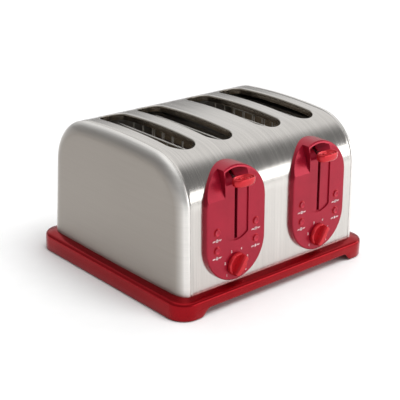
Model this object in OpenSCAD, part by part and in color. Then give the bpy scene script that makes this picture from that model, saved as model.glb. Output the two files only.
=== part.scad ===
// Four-slice pop up toaster with two independent lever and control modules.
// Frame: X across the width, front with the controls at -Y, Z up.
// The origin is at the centre of the footprint, on the surface that the toaster stands on.

/* [Base] */
// Width of the base
base_w = 314; // [310:1:320]
// Depth of the base
base_d = 276; // [274:1:280]
// Plan radius of the base's corners
base_corner_r = 23; // [20:1:26]
// Height of the base's top edge, where the shell stands
base_h = 24.5; // [24:0.5:25]
// Height of the recess under the front and rear skirts
kick_h = 10.5; // [9:0.5:10.5]
// Length of the part of the front skirt that reaches down at each corner
foot_l = 33; // [28:1:36]

/* [Shell] */
// Width of the shell over both end caps
shell_w = 292; // [290:0.5:294]
// Distance from the middle to the seam between wrap and end cap
seam_x = 132.5; // [131:0.5:134]
// Half depth of the shell at the base
shell_half_d = 125.5; // [124:0.5:126]
// Half depth of the shell where the straight wall ends
wall_top_half_d = 121; // [120:0.5:122]
// Height where the straight wall ends and the corner begins
wall_top_z = 118; // [116:1:120]
// Radius of the shell's long rounded corners
corner_r = 62; // [60:1:63]
// Height of the crown
top_z = 182.6; // [182:0.2:184]
// Sheet thickness of the wrap
sheet = 1.0; // [0.8:0.1:1.2]
// How far the end cap's rounded edge runs in from the profile
cap_round = 20; // [16:1:22]
// Thickness of the end cap
cap_t = 1.5; // [1.2:0.1:2]

/* [Bread slots] */
// Clear width of a bread slot
slot_w = 36; // [34:0.5:37]
// Length of a bread slot over its round ends
slot_l = 152; // [140:1:154]
// Depth of the turned-down flange round each slot
slot_flange = 8; // [6:0.5:9]
// Middle of the inner slot from the toaster's centre
slot_in_x = 40; // [39:0.5:41]
// Middle of the outer slot from the toaster's centre
slot_out_x = 97; // [96:0.5:98]

/* [Control modules] */
// Width of the control panel
panel_w = 90; // [88:0.5:92]
// Lower end of the control panel
panel_z0 = 29; // [28:0.5:30]
// Upper end of the control panel
panel_z1 = 165; // [163:0.5:166]
// How far the panel's face stands proud of the wall
panel_proud = 5.5; // [5:0.1:6]
// Width of the lever channel
channel_w = 36; // [34:0.5:36]
// Lower end of the lever channel
channel_z0 = 77; // [76:0.5:78]
// Upper end of the lever channel
channel_z1 = 162; // [160:0.5:162]
// Depth of the lever channel
channel_depth = 7; // [6:0.5:7]
// How far the channel's curved lower end bulges down
channel_sag = 7; // [5:0.5:8]
// Radius of a push button
button_r = 4; // [3.5:0.1:4.2]
// Sideways distance of the buttons from the panel's middle
button_dx = 30; // [29:0.5:31]
// Height of the browning dial's centre
dial_z = 48; // [47:0.5:49]
// Radius of the browning dial
dial_r = 14; // [12:0.5:15]

/* [Mechanism] */
// Travel of the bread lift
travel = 62; // [58:1:62]
// Radius of the guide rod
rod_r = 3; // [2.5:0.1:3]
// Radial clearance of the lift's bush on its rod
rod_fit = 0.05; // [0.03:0.01:0.09]
// Number of coils in a return spring
spring_turns = 10; // [8:1:12]
// Half the gap between the two guards of a slot
guard_dx = 17; // [16.5:0.5:17]
// Number of upright wires in a guard
guard_wires = 9; // [5:1:11]

/* [Hidden] */
$fn = 48;

gap = 0.3;                                   // clearance between parts that move past each other
steel = [0.74, 0.73, 0.71];
red_plastic = [0.62, 0.06, 0.14];
panel_red = [0.70, 0.18, 0.27];
galvanised = [0.66, 0.67, 0.68];

// Slots and modules, left to right
slot_x = [-slot_out_x, -slot_in_x, slot_in_x, slot_out_x];
module_x = (slot_in_x + slot_out_x) / 2;     // middle of a control module

// Shell outline in Y and Z
lean = atan((shell_half_d - wall_top_half_d) / (wall_top_z - base_h));
corner_y = wall_top_half_d - corner_r;       // centre of the rounded corner
crown_rise = top_z - wall_top_z;
crown_r = (corner_y * corner_y + pow(crown_rise, 2) - pow(corner_r, 2)) / (2 * (crown_rise - corner_r));
crown_z = top_z - crown_r;                   // centre of the shallow crown arc
crown_angle = atan2(wall_top_z - crown_z, corner_y);
corner_steps = 14;
crown_steps = 10;

// One side of the outline from the crown's middle to the foot of the wall, set in by "inset"
function side_points(inset, s) = concat(
    [for (i = [1 : crown_steps])
        let (a = 90 + (crown_angle - 90) * i / crown_steps)
        [s * (crown_r - inset) * cos(a), crown_z + (crown_r - inset) * sin(a)]],
    [for (i = [1 : corner_steps])
        let (a = crown_angle * (1 - i / corner_steps))
        [s * (corner_y + (corner_r - inset) * cos(a)), wall_top_z + (corner_r - inset) * sin(a)]]);

// Closed outline, clockwise seen from +X; "foot_z" is the height of its lower edge
function outline(inset, foot_z) =
    let (right = side_points(inset, 1))
    let (foot_y = shell_half_d - inset + (base_h - foot_z) * tan(lean))
    let (top = [[0, top_z - inset]])
    let (left = side_points(inset, -1))
    concat([[-foot_y, foot_z]], [for (i = [len(left) - 1 : -1 : 0]) left[i]], top, right,
        [[foot_y, foot_z]]);

// Extrude an outline in Y and Z along X
module along_x(x0, x1) {
    translate([x0, 0, 0])
        rotate([90, 0, 90])
            linear_extrude(x1 - x0)
                children();
}

// Extrude an outline in X and Z along Y
module along_y(y0, y1) {
    translate([0, y1, 0])
        rotate([90, 0, 0])
            linear_extrude(y1 - y0)
                children();
}

module shell_solid(inset, foot_z, half_w) {
    along_x(-half_w, half_w)
        polygon(outline(inset, foot_z));
}

// Rectangle w by d with round corners, centred
module rounded_rect(w, d, r) {
    square([w, d - 2 * r], center = true);
    square([w - 2 * r, d], center = true);
    for (sx = [-1, 1], sy = [-1, 1])
        translate([sx * (w / 2 - r), sy * (d / 2 - r)])
            circle(r);
}

// Upright racetrack in X and Z, centred on x
module racetrack(x, w, z0, z1) {
    r = w / 2;
    translate([x - r, z0 + r])
        square([w, z1 - z0 - w]);
    for (z = [z0 + r, z1 - r])
        translate([x, z])
            circle(r, $fn = 72);
}

// Lever channel in X and Z: straight sides, a shallow arc below and one along the panel's own below the top
module channel_outline(x, grow) {
    half_w = channel_w / 2;
    low_r = (half_w * half_w + channel_sag * channel_sag) / (2 * channel_sag);
    low_z = channel_z0 + channel_sag;
    high_z = channel_z1 - channel_sag;
    translate([x - half_w - grow, low_z])
        square([channel_w + 2 * grow, high_z - low_z]);
    intersection() {
        translate([x - half_w - grow, channel_z0 - grow])
            square([channel_w + 2 * grow, channel_sag + grow + 1]);
        translate([x, channel_z0 + low_r])
            circle(low_r + grow, $fn = 96);
    }
    intersection() {
        translate([x - half_w - grow, high_z - 1])
            square([channel_w + 2 * grow, channel_sag + grow + 1]);
        translate([x, panel_z1 - panel_w / 2])
            circle(panel_w / 2 - (panel_z1 - channel_z1) + grow, $fn = 96);
    }
}

// Box from one corner to the opposite one
module block(low, high) {
    translate(low)
        cube(high - low);
}

// Rod between two heights, and one along Y or X
module rod_z(x, y, z0, z1, r) {
    translate([x, y, z0])
        cylinder(h = z1 - z0, r = r);
}
module rod_y(x, y0, y1, z, r) {
    translate([x, y1, z])
        rotate([90, 0, 0])
            cylinder(h = y1 - y0, r = r);
}
module rod_x(x0, x1, y, z, r) {
    translate([x0, y, z])
        rotate([0, 90, 0])
            cylinder(h = x1 - x0, r = r);
}

// The panel's face: local x is X, local y runs up the face and local z points out of it.
// Its origin lies on the face at the height z.
face_y0 = -(shell_half_d + panel_proud) + (panel_z0 - base_h) * tan(lean);
function face_y(z) = face_y0 + (z - panel_z0) * tan(lean);
module on_face(x, z) {
    translate([x, face_y(z), z])
        rotate([90 - lean, 0, 0])
            children();
}

// Everything deeper than "depth" behind the face, and everything in front of that
module behind_face(depth) {
    on_face(0, 0)
        translate([-200, -60, -depth - 80])
            cube([400, 320, 80]);
}

// ---------------------------------------------------------------- base

shoulder_z = 18;                             // where the skirt's vertical wall ends
ledge = base_w / 2 - shell_w / 2;            // base top outside the shell
skirt_z = 1;
skirt_t = 2.5;
floor_t = 2.5;
floor_top = kick_h + floor_t;
rim_in = 17;                                 // inner edge of the rim from the base's outside
frame_y = 84;                                // outer face of the front and rear frames
frame_t = 1.5;
bar_z = base_h - 3;
tray_half_w = 52;
tray_h = 6;
tray_z = floor_top + gap;
gland_z = 17;
gland_r = 5;
screw_points = [for (x = [-130, 0, 130], y = [-frame_y, frame_y]) [x, y]];

// Corner of the base, with the rounded shoulder turned about its own axis
module base_corner() {
    r = base_corner_r;
    rotate_extrude($fn = 48)
        polygon([[0, skirt_z], [r, skirt_z], [r, shoulder_z], [r - 0.4, shoulder_z + 1.9],
            [r - 1.4, shoulder_z + 3.4], [r - 3, shoulder_z + 4.4], [r - 5.2, shoulder_z + 5],
            [r - ledge, base_h], [0, base_h]]);
}

module base_tray() {
    color(red_plastic)
        difference() {
            union() {
                difference() {
                    hull()
                        for (sx = [-1, 1], sy = [-1, 1])
                            translate([sx * (base_w / 2 - base_corner_r), sy * (base_d / 2 - base_corner_r), 0])
                                base_corner();
                    // room under the floor
                    linear_extrude(kick_h)
                        rounded_rect(base_w - 2 * skirt_t, base_d - 2 * skirt_t, base_corner_r - skirt_t);
                    // room over the floor, and the open top inside the rim
                    translate([0, 0, floor_top])
                        linear_extrude(bar_z - 0.5 - floor_top)
                            rounded_rect(base_w - 6, base_d - 6, base_corner_r - 3);
                    translate([0, 0, floor_top])
                        linear_extrude(base_h)
                            rounded_rect(base_w - 2 * rim_in, base_d - 2 * rim_in, 8);
                    // recess between the corner feet, front and rear
                    block([-(base_w / 2 - foot_l), -base_d / 2 - 1, -1],
                        [base_w / 2 - foot_l, base_d / 2 + 1, kick_h]);
                }
                // bars that carry the frames, their screw bosses, and the bosses over the feet
                for (s = [-1, 1])
                    block([-base_w / 2 + rim_in - 1, s * (frame_y - 1) - 5, bar_z],
                        [base_w / 2 - rim_in + 1, s * (frame_y - 1) + 5, base_h]);
                for (p = screw_points)
                    rod_z(p[0], p[1], floor_top - 1, bar_z + 1, 5);
                foot_bosses();
            }
            for (p = screw_points)
                rod_z(p[0], p[1], 0, base_h + 1, 1.55);
            // mouths for the crumb trays, and the cord gland's hole
            for (s = [-1, 1])
                block([s * module_x - tray_half_w - 1, base_d / 2 - 10, floor_top],
                    [s * module_x + tray_half_w + 1, base_d / 2 + 1, floor_top + tray_h + 1]);
            rod_y(0, base_d / 2 - 10, base_d / 2 + 1, gland_z, gland_r);
            floor_vents();
        }
}

foot_x = 130;
foot_y = 112;
module foot_bosses() {
    for (sx = [-1, 1], sy = [-1, 1])
        rod_z(sx * foot_x, sy * foot_y, 3, kick_h + 1, 10);
}

module floor_vents() {
    for (s = [-1, 1], i = [-4 : 4])
        block([s * module_x + i * 11 - 2.5, -70, kick_h - 1], [s * module_x + i * 11 + 2.5, 70, floor_top + 1]);
}

module rubber_feet() {
    color([0.08, 0.08, 0.08])
        for (sx = [-1, 1], sy = [-1, 1])
            rod_z(sx * foot_x, sy * foot_y, 0, 3, 9);
}

module base_screws() {
    color(galvanised)
        for (p = screw_points) {
            rod_z(p[0], p[1], kick_h - 2, kick_h, 3.4);
            rod_z(p[0], p[1], kick_h, base_h, 1.5);
        }
}

module cord_gland() {
    y = base_d / 2;
    color([0.1, 0.1, 0.1])
        difference() {
            union() {
                rod_y(0, y, y + 4.5, gland_z, 7);
                rod_y(0, y - 3, y, gland_z, gland_r);
                block([-6.5, y - 6, floor_top + 0.2], [6.5, y - 3, bar_z - 0.7]);
            }
            rod_y(0, y - 8, y + 5, gland_z, 3.6);
        }
}

// ---------------------------------------------------------------- shell

// Stadium in plan along Y, for a bread slot
module slot_outline(x, grow) {
    w = slot_w + 2 * grow;
    translate([x, 0]) {
        square([w, slot_l - slot_w], center = true);
        for (s = [-1, 1])
            translate([0, s * (slot_l - slot_w) / 2])
                circle(w / 2, $fn = 72);
    }
}

module slot_columns(grow) {
    translate([0, 0, top_z - 30])
        linear_extrude(40)
            for (x = slot_x)
                slot_outline(x, grow);
}

cutout_w = channel_w + 4;
cutout_z1 = 160;
button_z = [93, 71.5];
module wrap_shell() {
    color(steel)
        difference() {
            union() {
                difference() {
                    shell_solid(0, base_h, seam_x);
                    shell_solid(sheet, base_h - 1, seam_x + 1);
                }
                intersection() {
                    difference() {
                        shell_solid(0, base_h, seam_x);
                        shell_solid(slot_flange, base_h - 1, seam_x + 1);
                    }
                    slot_columns(sheet);
                }
            }
            slot_columns(0);
            for (s = [-1, 1]) {
                block([s * module_x - cutout_w / 2, -140, channel_z0 - 3],
                    [s * module_x + cutout_w / 2, -95, cutout_z1]);
                on_face(s * module_x, dial_z)
                    translate([0, 0, -20])
                        cylinder(h = 22, r = 6);
                for (t = [-1, 1], z = button_z)
                    on_face(s * module_x + t * button_dx, z)
                        translate([0, 0, -16])
                            cylinder(h = 18, r = 3);
            }
        }
}

// Rings of an end cap's rounded edge: a quarter ellipse from x0 at the seam to x1 at the flat face
cap_steps = 8;
function cap_ring(i, x0, x1, round_in, inset, foot_z) =
    let (a = 90 * i / cap_steps)
    flat_ring(x0 + (x1 - x0) * sin(a), inset + round_in * (1 - cos(a)), foot_z);
function flat_ring(x, inset, foot_z) = [for (p = outline(inset, foot_z)) [x, p[0], p[1]]];

// Closed solid through the rings; the first and last are its end faces
module lofted(rings) {
    n = len(rings[0]);
    m = len(rings);
    points = [for (r = rings) each r];
    faces = concat(
        [[for (j = [0 : n - 1]) j]],
        [for (i = [0 : m - 2], j = [0 : n - 1])
            let (k = (j + 1) % n)
            each [[i * n + j, (i + 1) * n + k, i * n + k], [i * n + j, (i + 1) * n + j, (i + 1) * n + k]]],
        [[for (j = [n - 1 : -1 : 0]) (m - 1) * n + j]]);
    polyhedron(points = points, faces = faces, convexity = 4);
}

cap_gap = 0.2;
lip_l = 4;                                   // how far the cap's lip runs in under the wrap
lip_t = 1.2;
lip_inset = sheet + 0.1;
module end_cap(s) {
    x0 = seam_x + cap_gap;
    x1 = shell_w / 2;
    inner_x = x0 + cap_t;
    floor_z = base_h + cap_t;
    inner = [for (i = [cap_steps : -1 : 0])
        cap_ring(i, inner_x, x1 - cap_t, cap_round - cap_t / 2, cap_t, floor_z)];
    lip = [
        flat_ring(inner_x, lip_inset + lip_t, floor_z + lip_t / 2),
        flat_ring(seam_x - lip_l, lip_inset + lip_t, floor_z + lip_t / 2),
        flat_ring(seam_x - lip_l, lip_inset, base_h + gap),
        flat_ring(x0, lip_inset, base_h + gap)];
    outer = [for (i = [0 : cap_steps]) cap_ring(i, x0, x1, cap_round, 0, base_h)];
    color([0.62, 0.59, 0.56])
        mirror([s < 0 ? 1 : 0, 0, 0])
            lofted(concat(inner, lip, outer));
}
module left_end_cap() { end_cap(-1); }
module right_end_cap() { end_cap(1); }

// ---------------------------------------------------------------- inner frames, shields, heaters

frame_half_w = 128;
frame_top = 170;
card_z0 = 38;
card_z1 = 158;
guard_z = 40;                                // height of a guard's pivot
guard_pin_r = 1.2;
rod_dx = 18;                                 // guide rod and latch magnet from the module's middle
rod_y0 = -96;
rod_z0 = base_h + 2;
rod_z1 = 156;
rack_z0 = 98;
rack_h = 8;

module frame_plate(y0) {
    difference() {
        block([-frame_half_w, y0, base_h], [frame_half_w, y0 + frame_t, frame_top]);
        for (x = slot_x)
            block([x - 3, y0 - 1, rack_z0 - travel - 2.5], [x + 3, y0 + frame_t + 1, rack_z0 + rack_h + 6]);
        for (x = slot_x, s = [-1, 1])
            rod_y(x + s * guard_dx, y0 - 1, y0 + frame_t + 1, guard_z, guard_pin_r + 0.08);
    }
}

module front_frame() {
    color(galvanised)
        union() {
            frame_plate(-frame_y);
            for (s = [-1, 1]) {
                // seats for the magnet and the rod's foot, and the rod's upper tab
                block([s * module_x - rod_dx - 9, -106, base_h], [s * module_x + rod_dx + 7, -frame_y, rod_z0]);
                block([s * module_x + rod_dx - 6, -102, rod_z1], [s * module_x + rod_dx + 6, -frame_y, rod_z1 + 2]);
            }
        }
}

module rear_frame() {
    color(galvanised)
        frame_plate(frame_y - frame_t);
}

inner_y = frame_y - frame_t;
module outer_shield(s) {
    color([0.72, 0.72, 0.74])
        block([s * 124 - 0.4, -inner_y, base_h], [s * 124 + 0.4, inner_y, 166]);
}
module left_outer_shield() { outer_shield(-1); }
module right_outer_shield() { outer_shield(1); }

module centre_shield() {
    color([0.72, 0.72, 0.74])
        difference() {
            block([-12.5, -inner_y, base_h], [12.5, inner_y, 166]);
            block([-11.7, -inner_y - 1, base_h - 1], [11.7, inner_y + 1, 165.2]);
        }
}

card_x = [-120, -module_x, -17, 17, module_x, 120];
card_t = 1;
module heater_card(i) {
    color([0.80, 0.76, 0.66])
        block([card_x[i] - card_t / 2, -inner_y, card_z0], [card_x[i] + card_t / 2, inner_y, card_z1]);
}
module heater_card_1() { heater_card(0); }
module heater_card_2() { heater_card(1); }
module heater_card_3() { heater_card(2); }
module heater_card_4() { heater_card(3); }
module heater_card_5() { heater_card(4); }
module heater_card_6() { heater_card(5); }

// Flat resistance ribbon, wound round each card as closed turns
ribbon_t = 0.3;
ribbon_rows = 9;
module heater_wire(first) {
    color([0.45, 0.38, 0.34])
        for (i = [first : first + 2], k = [0 : ribbon_rows - 1], s = [-1, 1])
            let (z = card_z0 + 9 + k * 12.5)
            let (x = card_x[i] + s * (card_t + ribbon_t) / 2)
            block([x - ribbon_t / 2, -72, z], [x + ribbon_t / 2, 72, z + 2.2]);
}
module heater_wire_left() { heater_wire(0); }
module heater_wire_right() { heater_wire(3); }

// ---------------------------------------------------------------- rods, springs, electrics

module guide_rod(s) {
    color([0.8, 0.8, 0.8])
        rod_z(s * module_x + rod_dx, rod_y0, rod_z0, rod_z1, rod_r);
}
module guide_rod_left() { guide_rod(-1); }
module guide_rod_right() { guide_rod(1); }

bush_z0 = 122;
bush_z1 = 142;
spring_wire = 0.6;
spring_r = rod_r + 1.7;
spring_z0 = rod_z0 + spring_wire + 0.1;
spring_z1 = bush_z0 - spring_wire - gap;
spring_sides = 6;
spring_steps = 16;                           // rings in each turn
module return_spring(s) {
    n = spring_turns * spring_steps;
    rings = [for (i = [0 : n])
        let (a = 360 * i / spring_steps)
        let (z = spring_z0 + (spring_z1 - spring_z0) * i / n)
        [for (j = [0 : spring_sides - 1])
            let (b = 360 * j / spring_sides)
            let (r = spring_r + spring_wire * cos(b))
            [r * cos(a), r * sin(a), z + spring_wire * sin(b)]]];
    color([0.75, 0.75, 0.76])
        translate([s * module_x + rod_dx, rod_y0, 0])
            mirror([0, 1, 0])
                lofted(rings);
}
module return_spring_left() { return_spring(-1); }
module return_spring_right() { return_spring(1); }

board_y = -109.5;
board_t = 1.6;
board_half_w = 42;
switch_h = 2.4;                              // height of a push switch on the board
module circuit_board(s) {
    x = s * module_x;
    front = board_y - board_t;
    color([0.1, 0.35, 0.2]) {
        difference() {
            block([x - board_half_w, front, 32], [x + board_half_w, board_y, 100]);
            block([x - 6, front - 1, 74], [x + 6, board_y + 1, 101]);
        }
        for (t = [-1, 1], z = [38, 95])
            rod_y(x + t * 38.5, board_y, -frame_y, z, 2.5);
        for (t = [-1, 1], z = button_z)
            block([x + t * button_dx - 3, front - switch_h, z - 3.6], [x + t * button_dx + 3, front, z + 2.4]);
        rod_y(x, front - 5, front, dial_z - 0.7, 8);
    }
}
module circuit_board_left() { circuit_board(-1); }
module circuit_board_right() { circuit_board(1); }

magnet_top = 58.2;
module latch_magnet(s) {
    color([0.25, 0.2, 0.18]) {
        rod_z(s * module_x - rod_dx, rod_y0 - 1, rod_z0, magnet_top - 4, 8);
        rod_z(s * module_x - rod_dx, rod_y0 - 1, magnet_top - 4, magnet_top, 4);
    }
}
module latch_magnet_left() { latch_magnet(-1); }
module latch_magnet_right() { latch_magnet(1); }

// ---------------------------------------------------------------- control panels

panel_t = 2.5;                               // thickness of the face
panel_wall = 2;
slit_w = 4.5;
slit_z0 = 78.5;
slit_z1 = 158;
tub_wall = 1.5;
button_flange_r = 5.4;
dial_shaft_r = 3;

module control_panel(s) {
    x = s * module_x;
    color(panel_red)
        difference() {
            union() {
                difference() {
                    intersection() {
                        along_y(-150, -80)
                            racetrack(x, panel_w, panel_z0, panel_z1);
                        behind_face(0);
                    }
                    shell_solid(0, 0, seam_x);
                    intersection() {
                        along_y(-150, -70)
                            racetrack(x, panel_w - 2 * panel_wall, panel_z0 + panel_wall, panel_z1 - panel_wall);
                        behind_face(panel_t);
                    }
                }
                // tub of the lever channel
                difference() {
                    intersection() {
                        along_y(-150, -100)
                            channel_outline(x, tub_wall);
                        behind_face(0);
                    }
                    behind_face(channel_depth + tub_wall);
                }
            }
            difference() {
                along_y(-150, -100)
                    channel_outline(x, 0);
                behind_face(channel_depth);
            }
            block([x - slit_w / 2, -150, slit_z0], [x + slit_w / 2, -100, slit_z1]);
            on_face(x, dial_z)
                translate([0, 0, -6])
                    cylinder(h = 8, r = dial_shaft_r + 0.08);
            for (t = [-1, 1], z = button_z)
                on_face(x + t * button_dx, z)
                    translate([0, 0, -6])
                        cylinder(h = 8, r = button_r + gap);
        }
}
module control_panel_left() { control_panel(-1); }
module control_panel_right() { control_panel(1); }

button_proud = 1.6;
module push_button(s, t, z) {
    stem_end = -face_y(z) + board_y - board_t - switch_h - 2.2;
    color([0.75, 0.22, 0.30])
        on_face(s * module_x + t * button_dx, z) {
            translate([0, 0, -panel_t - gap - 1])
                cylinder(h = panel_t + gap + 1 + button_proud, r = button_r);
            translate([0, 0, -panel_t - gap - 1])
                cylinder(h = 1, r = button_flange_r);
            translate([0, 0, -stem_end])
                cylinder(h = stem_end - panel_t, r = 1.9);
        }
}
module button_left_1() { push_button(-1, -1, button_z[0]); }
module button_left_2() { push_button(-1, 1, button_z[0]); }
module button_left_3() { push_button(-1, -1, button_z[1]); }
module button_left_4() { push_button(-1, 1, button_z[1]); }
module button_right_1() { push_button(1, -1, button_z[0]); }
module button_right_2() { push_button(1, 1, button_z[0]); }
module button_right_3() { push_button(1, -1, button_z[1]); }
module button_right_4() { push_button(1, 1, button_z[1]); }

dial_turn = 37;                              // how far the grip leans clockwise at rest
module dial(s) {
    shaft_end = -face_y(dial_z) + board_y - board_t - 5 - 0.6;
    color([0.72, 0.10, 0.14])
        on_face(s * module_x, dial_z)
            rotate([0, 0, -dial_turn]) {
                translate([0, 0, 0.4])
                    cylinder(h = 4.5, r = dial_r, $fn = 72);
                intersection() {
                    translate([0, 0, 0.4])
                        cylinder(h = 11, r = dial_r - 0.4, $fn = 72);
                    translate([-4, -dial_r, 2])
                        cube([8, 2 * dial_r, 12]);
                }
                translate([0, 0, -shaft_end])
                    cylinder(h = shaft_end + 1, r = dial_shaft_r);
            }
}
module dial_left() { dial(-1); }
module dial_right() { dial(1); }

// ---------------------------------------------------------------- bread lift

plate_y0 = -88.5;
plate_y1 = -86.5;
plate_z1 = 150;
arm_z0 = 146;
arm_z1 = 151.5;
arm_half_t = 1.25;
knob_z0 = 145.5;
knob_h = 9;
knob_half_w = 15.5;
knob_r = 10;
knob_front = -143;
latch_z = magnet_top + travel + gap;
module carriage_plate(s) {
    x = s * module_x;
    half_w = (slot_out_x - slot_in_x) / 2 + 5.5;
    color(galvanised)
        difference() {
            union() {
                block([x - half_w, plate_y0, rack_z0], [x + half_w, plate_y1, plate_z1]);
                block([x - arm_half_t, -131, arm_z0], [x + arm_half_t, plate_y1, arm_z1]);
                rod_z(x + rod_dx, rod_y0, bush_z0, bush_z1, 5);
                block([x + rod_dx - 4, rod_y0, bush_z0], [x + rod_dx + 4, plate_y1, bush_z1]);
                block([x - rod_dx - 5, rod_y0 - 6, latch_z + 3], [x - rod_dx + 5, plate_y1, latch_z + 5]);
            }
            rod_z(x + rod_dx, rod_y0, bush_z0 - 1, bush_z1 + 1, rod_r + rod_fit);
            // window that lightens the plate
            block([x - 12, plate_y0 - 1, rack_z0 + 8], [x + 8, plate_y1 + 1, latch_z - 4]);
        }
}
module carriage_plate_left() { carriage_plate(-1); }
module carriage_plate_right() { carriage_plate(1); }

module latch_plate(s) {
    color([0.5, 0.5, 0.52])
        rod_z(s * module_x - rod_dx, rod_y0 - 1, latch_z, latch_z + 3, 7.5);
}
module latch_plate_left() { latch_plate(-1); }
module latch_plate_right() { latch_plate(1); }

module lever_knob(s) {
    x = s * module_x;
    y = knob_front + knob_r;
    color(red_plastic)
        difference() {
            union() {
                for (t = [-1, 1])
                    rod_z(x + t * (knob_half_w - knob_r), y, knob_z0, knob_z0 + knob_h, knob_r);
                block([x - knob_half_w + knob_r, y - knob_r, knob_z0], [x + knob_half_w - knob_r, y + knob_r, knob_z0 + knob_h]);
            }
            block([x - arm_half_t, -131, arm_z0], [x + arm_half_t, y + knob_r + 1, arm_z1]);
            // dished top
            translate([x, y - 1, knob_z0 + knob_h + 38.5])
                sphere(r = 40, $fn = 96);
        }
}
module lever_knob_left() { lever_knob(-1); }
module lever_knob_right() { lever_knob(1); }

// Flat bar with cross wires, hung on the carriage plate's rear face
module bread_rack(i) {
    x = slot_x[i];
    color([0.78, 0.78, 0.78]) {
        difference() {
            block([x - 1.5, plate_y1, rack_z0], [x + 1.5, 86.5, rack_z0 + rack_h]);
            for (k = [-3 : 3])
                rod_x(x - 3, x + 3, k * 20 - 10, rack_z0 + 2, 1);
        }
        for (k = [-4 : 4])
            rod_x(x - 12, x + 12, k * 17, rack_z0 + rack_h - 1.5, 1);
    }
}
module bread_rack_1() { bread_rack(0); }
module bread_rack_2() { bread_rack(1); }
module bread_rack_3() { bread_rack(2); }
module bread_rack_4() { bread_rack(3); }

// Wire grille that swings in against the bread as the lift goes down
guard_half_l = 74;
guard_top = 165;
module guard(i, s) {
    x = slot_x[i] + s * guard_dx;
    color([0.8, 0.8, 0.8]) {
        rod_y(x, -frame_y - 0.8, frame_y + 0.8, guard_z, guard_pin_r);
        rod_y(x, -guard_half_l, guard_half_l, guard_top, 1.1);
        rod_y(x, -guard_half_l, guard_half_l, (guard_z + guard_top) / 2, 0.7);
        for (k = [0 : guard_wires - 1])
            rod_z(x, -guard_half_l + 1 + k * (2 * guard_half_l - 2) / (guard_wires - 1), guard_z, guard_top, 0.8);
    }
}
module guard_1() { guard(0, -1); }
module guard_2() { guard(0, 1); }
module guard_3() { guard(1, -1); }
module guard_4() { guard(1, 1); }
module guard_5() { guard(2, -1); }
module guard_6() { guard(2, 1); }
module guard_7() { guard(3, -1); }
module guard_8() { guard(3, 1); }

// ---------------------------------------------------------------- crumb trays

tray_front = -118;
tray_back = 134;
handle_y1 = 143;
module crumb_tray(s) {
    x = s * module_x;
    color(galvanised)
        difference() {
            union() {
                block([x - tray_half_w, tray_front, tray_z], [x + tray_half_w, base_d / 2 + gap, tray_z + tray_h]);
                block([x - 30, base_d / 2 + gap, tray_z - 1], [x + 30, base_d / 2 + gap + 1.5, tray_z + tray_h + 1]);
                block([x - 20, base_d / 2 + gap, tray_z - 1], [x + 20, handle_y1, tray_z + 0.5]);
            }
            block([x - tray_half_w + 1, tray_front + 1, tray_z + 1],
                [x + tray_half_w - 1, tray_back, tray_z + tray_h + 1]);
        }
}
module crumb_tray_left() { crumb_tray(-1); }
module crumb_tray_right() { crumb_tray(1); }

base_tray();
rubber_feet();
wrap_shell();
left_end_cap();
right_end_cap();
front_frame();
rear_frame();
left_outer_shield();
right_outer_shield();
centre_shield();
heater_card_1();
heater_card_2();
heater_card_3();
heater_card_4();
heater_card_5();
heater_card_6();
heater_wire_left();
heater_wire_right();
guide_rod_left();
guide_rod_right();
return_spring_left();
return_spring_right();
control_panel_left();
control_panel_right();
circuit_board_left();
circuit_board_right();
latch_magnet_left();
latch_magnet_right();
cord_gland();
base_screws();
carriage_plate_left();
carriage_plate_right();
bread_rack_1();
bread_rack_2();
bread_rack_3();
bread_rack_4();
lever_knob_left();
lever_knob_right();
latch_plate_left();
latch_plate_right();
guard_1();
guard_2();
guard_3();
guard_4();
guard_5();
guard_6();
guard_7();
guard_8();
dial_left();
dial_right();
button_left_1();
button_left_2();
button_left_3();
button_left_4();
button_right_1();
button_right_2();
button_right_3();
button_right_4();
crumb_tray_left();
crumb_tray_right();
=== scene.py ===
import math
from functools import partial

import bmesh
import bpy
from mathutils import Matrix, Vector


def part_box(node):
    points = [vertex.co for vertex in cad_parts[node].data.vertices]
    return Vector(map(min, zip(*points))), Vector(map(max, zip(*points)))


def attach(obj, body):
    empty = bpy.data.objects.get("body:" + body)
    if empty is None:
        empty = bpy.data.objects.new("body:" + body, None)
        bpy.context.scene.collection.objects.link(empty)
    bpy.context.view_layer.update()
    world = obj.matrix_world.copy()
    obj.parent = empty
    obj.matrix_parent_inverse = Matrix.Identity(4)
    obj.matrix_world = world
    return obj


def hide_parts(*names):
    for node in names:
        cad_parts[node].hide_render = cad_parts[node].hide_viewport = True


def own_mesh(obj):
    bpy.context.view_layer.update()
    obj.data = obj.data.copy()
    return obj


bl_info = {
    "name": "Four-slice toaster",
    "version": (1, 0, 0),
    "blender": (4, 5, 0),
    "location": "3D View > Sidebar > Toaster",
    "description": "Builds the visible shell, base, control modules and finishes of a pop up toaster",
    "category": "Object",
}

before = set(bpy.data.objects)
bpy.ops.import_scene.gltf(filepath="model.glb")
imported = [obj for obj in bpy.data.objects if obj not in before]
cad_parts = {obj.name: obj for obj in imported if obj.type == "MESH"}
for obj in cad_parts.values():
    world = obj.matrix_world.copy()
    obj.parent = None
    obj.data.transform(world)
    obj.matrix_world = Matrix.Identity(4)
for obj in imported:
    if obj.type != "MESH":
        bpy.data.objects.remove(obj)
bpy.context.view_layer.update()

# ---------------------------------------------------------------- shape of the design, in millimetres

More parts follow.
